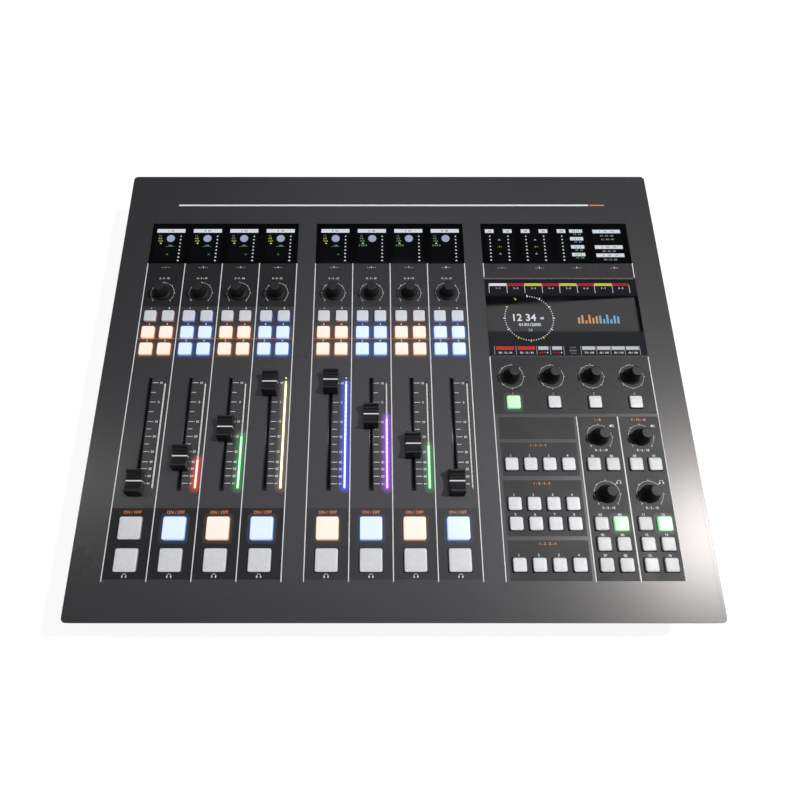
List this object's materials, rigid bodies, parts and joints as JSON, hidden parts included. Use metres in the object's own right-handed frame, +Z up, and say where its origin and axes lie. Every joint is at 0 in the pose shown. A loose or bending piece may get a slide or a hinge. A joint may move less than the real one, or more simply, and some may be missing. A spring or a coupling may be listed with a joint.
{
  "type": "mixing console",
  "caption": "Flat table-top mixing console: sliding faders, turning knobs, square lit keys, display windows and a touch screen in a folded panel over a shallow case.",
  "frame": {"origin": "on the table, under the middle of the top panel, at the bottom of the feet", "axes": "+X to the operator's right, +Y away from the operator, +Z up"},
  "size_m": [0.58, 0.47, 0.0835],
  "materials": {
    "panel_paint": "satin, fine texture",
    "case_paint": "matt, fine texture",
    "steel": "zinc plated",
    "foot_rubber": "matt",
    "window_glass": "black-backed, gloss",
    "black_plastic": "matt",
    "housing_plastic": "matt",
    "light_plastic": "translucent",
    "board": "solder mask",
    "socket_shell": "moulded",
    "key_plastic": "translucent silicone feel",
    "fader_plastic": "satin",
    "knob_plastic": "soft satin"
  },
  "bodies": {
    "console": {"base_tray": "case_paint", "board_spacers": "steel", "display_modules": "black_plastic", "display_window_left": "window_glass", "display_window_master": "window_glass", "display_window_right": "window_glass", "fader_housings": "housing_plastic", "key_switches": "black_plastic", "light_bars": "light_plastic", "mounting_angles": "steel", "network_sockets": "socket_shell", "panel_boards": "board", "power_inlet": "black_plastic", "processor_board": "board", "rotary_encoders": "housing_plastic", "rubber_feet": "foot_rubber", "top_panel": "panel_paint", "touch_screen_glass": "window_glass", "touch_screen_module": "black_plastic"},
    "fader_1": {"fader_1": "fader_plastic"},
    "fader_2": {"fader_2": "fader_plastic"},
    "fader_3": {"fader_3": "fader_plastic"},
    "fader_4": {"fader_4": "fader_plastic"},
    "fader_5": {"fader_5": "fader_plastic"},
    "fader_6": {"fader_6": "fader_plastic"},
    "fader_7": {"fader_7": "fader_plastic"},
    "fader_8": {"fader_8": "fader_plastic"},
    "gain_knob_1": {"gain_knob_1": "knob_plastic"},
    "gain_knob_2": {"gain_knob_2": "knob_plastic"},
    "gain_knob_3": {"gain_knob_3": "knob_plastic"},
    "gain_knob_4": {"gain_knob_4": "knob_plastic"},
    "gain_knob_5": {"gain_knob_5": "knob_plastic"},
    "gain_knob_6": {"gain_knob_6": "knob_plastic"},
    "gain_knob_7": {"gain_knob_7": "knob_plastic"},
    "gain_knob_8": {"gain_knob_8": "knob_plastic"},
    "encoder_knob_1": {"encoder_knob_1": "knob_plastic"},
    "encoder_knob_2": {"encoder_knob_2": "knob_plastic"},
    "encoder_knob_3": {"encoder_knob_3": "knob_plastic"},
    "encoder_knob_4": {"encoder_knob_4": "knob_plastic"},
    "studio_speaker_knob": {"studio_speaker_knob": "knob_plastic"},
    "studio_phones_knob": {"studio_phones_knob": "knob_plastic"},
    "control_room_speaker_knob": {"control_room_speaker_knob": "knob_plastic"},
    "control_room_phones_knob": {"control_room_phones_knob": "knob_plastic"},
    "channel_1_keys": {"channel_1_keys": "key_plastic"},
    "channel_2_keys": {"channel_2_keys": "key_plastic"},
    "channel_3_keys": {"channel_3_keys": "key_plastic"},
    "channel_4_keys": {"channel_4_keys": "key_plastic"},
    "channel_5_keys": {"channel_5_keys": "key_plastic"},
    "channel_6_keys": {"channel_6_keys": "key_plastic"},
    "channel_7_keys": {"channel_7_keys": "key_plastic"},
    "channel_8_keys": {"channel_8_keys": "key_plastic"},
    "start_keys": {"start_keys": "key_plastic"},
    "listen_keys": {"listen_keys": "key_plastic"},
    "encoder_keys": {"encoder_keys": "key_plastic"},
    "snapshot_keys": {"snapshot_keys": "key_plastic"},
    "smart_keys": {"smart_keys": "key_plastic"},
    "talk_back_keys": {"talk_back_keys": "key_plastic"},
    "studio_keys": {"studio_keys": "key_plastic"},
    "control_room_keys": {"control_room_keys": "key_plastic"}
  },
  "joints": [
    {"name": "fader_1_slide", "type": "slide", "parent": "console", "child": "fader_1", "axis": [0, 1, 0], "range_m": [0, 0.1]},
    {"name": "fader_2_slide", "type": "slide", "parent": "console", "child": "fader_2", "axis": [0, 1, 0], "range_m": [-0.0235, 0.0765]},
    {"name": "fader_3_slide", "type": "slide", "parent": "console", "child": "fader_3", "axis": [0, 1, 0], "range_m": [-0.052, 0.048]},
    {"name": "fader_4_slide", "type": "slide", "parent": "console", "child": "fader_4", "axis": [0, 1, 0], "range_m": [-0.098, 0.002]},
    {"name": "fader_5_slide", "type": "slide", "parent": "console", "child": "fader_5", "axis": [0, 1, 0], "range_m": [-0.1, 0]},
    {"name": "fader_6_slide", "type": "slide", "parent": "console", "child": "fader_6", "axis": [0, 1, 0], "range_m": [-0.0645, 0.0355]},
    {"name": "fader_7_slide", "type": "slide", "parent": "console", "child": "fader_7", "axis": [0, 1, 0], "range_m": [-0.0355, 0.0645]},
    {"name": "fader_8_slide", "type": "slide", "parent": "console", "child": "fader_8", "axis": [0, 1, 0], "range_m": [0, 0.1]},
    {"name": "gain_knob_1_turn", "type": "hinge", "parent": "console", "child": "gain_knob_1", "pos_m": [-0.24, 0.08639, 0.0665], "axis": [0, 0, 1], "range_deg": [-135, 135]},
    {"name": "gain_knob_2_turn", "type": "hinge", "parent": "console", "child": "gain_knob_2", "pos_m": [-0.2, 0.08639, 0.0665], "axis": [0, 0, 1], "range_deg": [-135, 135]},
    {"name": "gain_knob_3_turn", "type": "hinge", "parent": "console", "child": "gain_knob_3", "pos_m": [-0.16, 0.08639, 0.0665], "axis": [0, 0, 1], "range_deg": [-135, 135]},
    {"name": "gain_knob_4_turn", "type": "hinge", "parent": "console", "child": "gain_knob_4", "pos_m": [-0.12, 0.08639, 0.0665], "axis": [0, 0, 1], "range_deg": [-135, 135]},
    {"name": "gain_knob_5_turn", "type": "hinge", "parent": "console", "child": "gain_knob_5", "pos_m": [-0.06, 0.08639, 0.0665], "axis": [0, 0, 1], "range_deg": [-135, 135]},
    {"name": "gain_knob_6_turn", "type": "hinge", "parent": "console", "child": "gain_knob_6", "pos_m": [-0.02, 0.08639, 0.0665], "axis": [0, 0, 1], "range_deg": [-135, 135]},
    {"name": "gain_knob_7_turn", "type": "hinge", "parent": "console", "child": "gain_knob_7", "pos_m": [0.02, 0.08639, 0.0665], "axis": [0, 0, 1], "range_deg": [-135, 135]},
    {"name": "gain_knob_8_turn", "type": "hinge", "parent": "console", "child": "gain_knob_8", "pos_m": [0.06, 0.08639, 0.0665], "axis": [0, 0, 1], "range_deg": [-135, 135]},
    {"name": "encoder_knob_1_turn", "type": "hinge", "parent": "console", "child": "encoder_knob_1", "pos_m": [0.12, -0.00728, 0.0665], "axis": [0, 0, 1], "continuous": true},
    {"name": "encoder_knob_2_turn", "type": "hinge", "parent": "console", "child": "encoder_knob_2", "pos_m": [0.16, -0.00728, 0.0665], "axis": [0, 0, 1], "continuous": true},
    {"name": "encoder_knob_3_turn", "type": "hinge", "parent": "console", "child": "encoder_knob_3", "pos_m": [0.2, -0.00728, 0.0665], "axis": [0, 0, 1], "continuous": true},
    {"name": "encoder_knob_4_turn", "type": "hinge", "parent": "console", "child": "encoder_knob_4", "pos_m": [0.24, -0.00728, 0.0665], "axis": [0, 0, 1], "continuous": true},
    {"name": "studio_speaker_knob_turn", "type": "hinge", "parent": "console", "child": "studio_speaker_knob", "pos_m": [0.2, -0.06951, 0.0665], "axis": [0, 0, 1], "range_deg": [-135, 135]},
    {"name": "studio_phones_knob_turn", "type": "hinge", "parent": "console", "child": "studio_phones_knob", "pos_m": [0.2, -0.12389, 0.0665], "axis": [0, 0, 1], "range_deg": [-135, 135]},
    {"name": "control_room_speaker_knob_turn", "type": "hinge", "parent": "console", "child": "control_room_speaker_knob", "pos_m": [0.24, -0.06951, 0.0665], "axis": [0, 0, 1], "range_deg": [-135, 135]},
    {"name": "control_room_phones_knob_turn", "type": "hinge", "parent": "console", "child": "control_room_phones_knob", "pos_m": [0.24, -0.12389, 0.0665], "axis": [0, 0, 1], "range_deg": [-135, 135]},
    {"name": "channel_1_keys_press", "type": "slide", "parent": "console", "child": "channel_1_keys", "axis": [0, 0, 1], "range_m": [-0.0015, 0], "stiffness_N_per_m": 1000, "springref_m": 0.0005},
    {"name": "channel_2_keys_press", "type": "slide", "parent": "console", "child": "channel_2_keys", "axis": [0, 0, 1], "range_m": [-0.0015, 0], "stiffness_N_per_m": 1000, "springref_m": 0.0005},
    {"name": "channel_3_keys_press", "type": "slide", "parent": "console", "child": "channel_3_keys", "axis": [0, 0, 1], "range_m": [-0.0015, 0], "stiffness_N_per_m": 1000, "springref_m": 0.0005},
    {"name": "channel_4_keys_press", "type": "slide", "parent": "console", "child": "channel_4_keys", "axis": [0, 0, 1], "range_m": [-0.0015, 0], "stiffness_N_per_m": 1000, "springref_m": 0.0005},
    {"name": "channel_5_keys_press", "type": "slide", "parent": "console", "child": "channel_5_keys", "axis": [0, 0, 1], "range_m": [-0.0015, 0], "stiffness_N_per_m": 1000, "springref_m": 0.0005},
    {"name": "channel_6_keys_press", "type": "slide", "parent": "console", "child": "channel_6_keys", "axis": [0, 0, 1], "range_m": [-0.0015, 0], "stiffness_N_per_m": 1000, "springref_m": 0.0005},
    {"name": "channel_7_keys_press", "type": "slide", "parent": "console", "child": "channel_7_keys", "axis": [0, 0, 1], "range_m": [-0.0015, 0], "stiffness_N_per_m": 1000, "springref_m": 0.0005},
    {"name": "channel_8_keys_press", "type": "slide", "parent": "console", "child": "channel_8_keys", "axis": [0, 0, 1], "range_m": [-0.0015, 0], "stiffness_N_per_m": 1000, "springref_m": 0.0005},
    {"name": "start_keys_press", "type": "slide", "parent": "console", "child": "start_keys", "axis": [0, 0, 1], "range_m": [-0.0015, 0], "stiffness_N_per_m": 2000, "springref_m": 0.0005},
    {"name": "listen_keys_press", "type": "slide", "parent": "console", "child": "listen_keys", "axis": [0, 0, 1], "range_m": [-0.0015, 0], "stiffness_N_per_m": 2000, "springref_m": 0.0005},
    {"name": "encoder_keys_press", "type": "slide", "parent": "console", "child": "encoder_keys", "axis": [0, 0, 1], "range_m": [-0.0015, 0], "stiffness_N_per_m": 1000, "springref_m": 0.0005},
    {"name": "snapshot_keys_press", "type": "slide", "parent": "console", "child": "snapshot_keys", "axis": [0, 0, 1], "range_m": [-0.0015, 0], "stiffness_N_per_m": 1000, "springref_m": 0.0005},
    {"name": "smart_keys_press", "type": "slide", "parent": "console", "child": "smart_keys", "axis": [0, 0, 1], "range_m": [-0.0015, 0], "stiffness_N_per_m": 1000, "springref_m": 0.0005},
    {"name": "talk_back_keys_press", "type": "slide", "parent": "console", "child": "talk_back_keys", "axis": [0, 0, 1], "range_m": [-0.0015, 0], "stiffness_N_per_m": 1000, "springref_m": 0.0005},
    {"name": "studio_keys_press", "type": "slide", "parent": "console", "child": "studio_keys", "axis": [0, 0, 1], "range_m": [-0.0015, 0], "stiffness_N_per_m": 1000, "springref_m": 0.0005},
    {"name": "control_room_keys_press", "type": "slide", "parent": "console", "child": "control_room_keys", "axis": [0, 0, 1], "range_m": [-0.0015, 0], "stiffness_N_per_m": 1000, "springref_m": 0.0005}
  ]
}
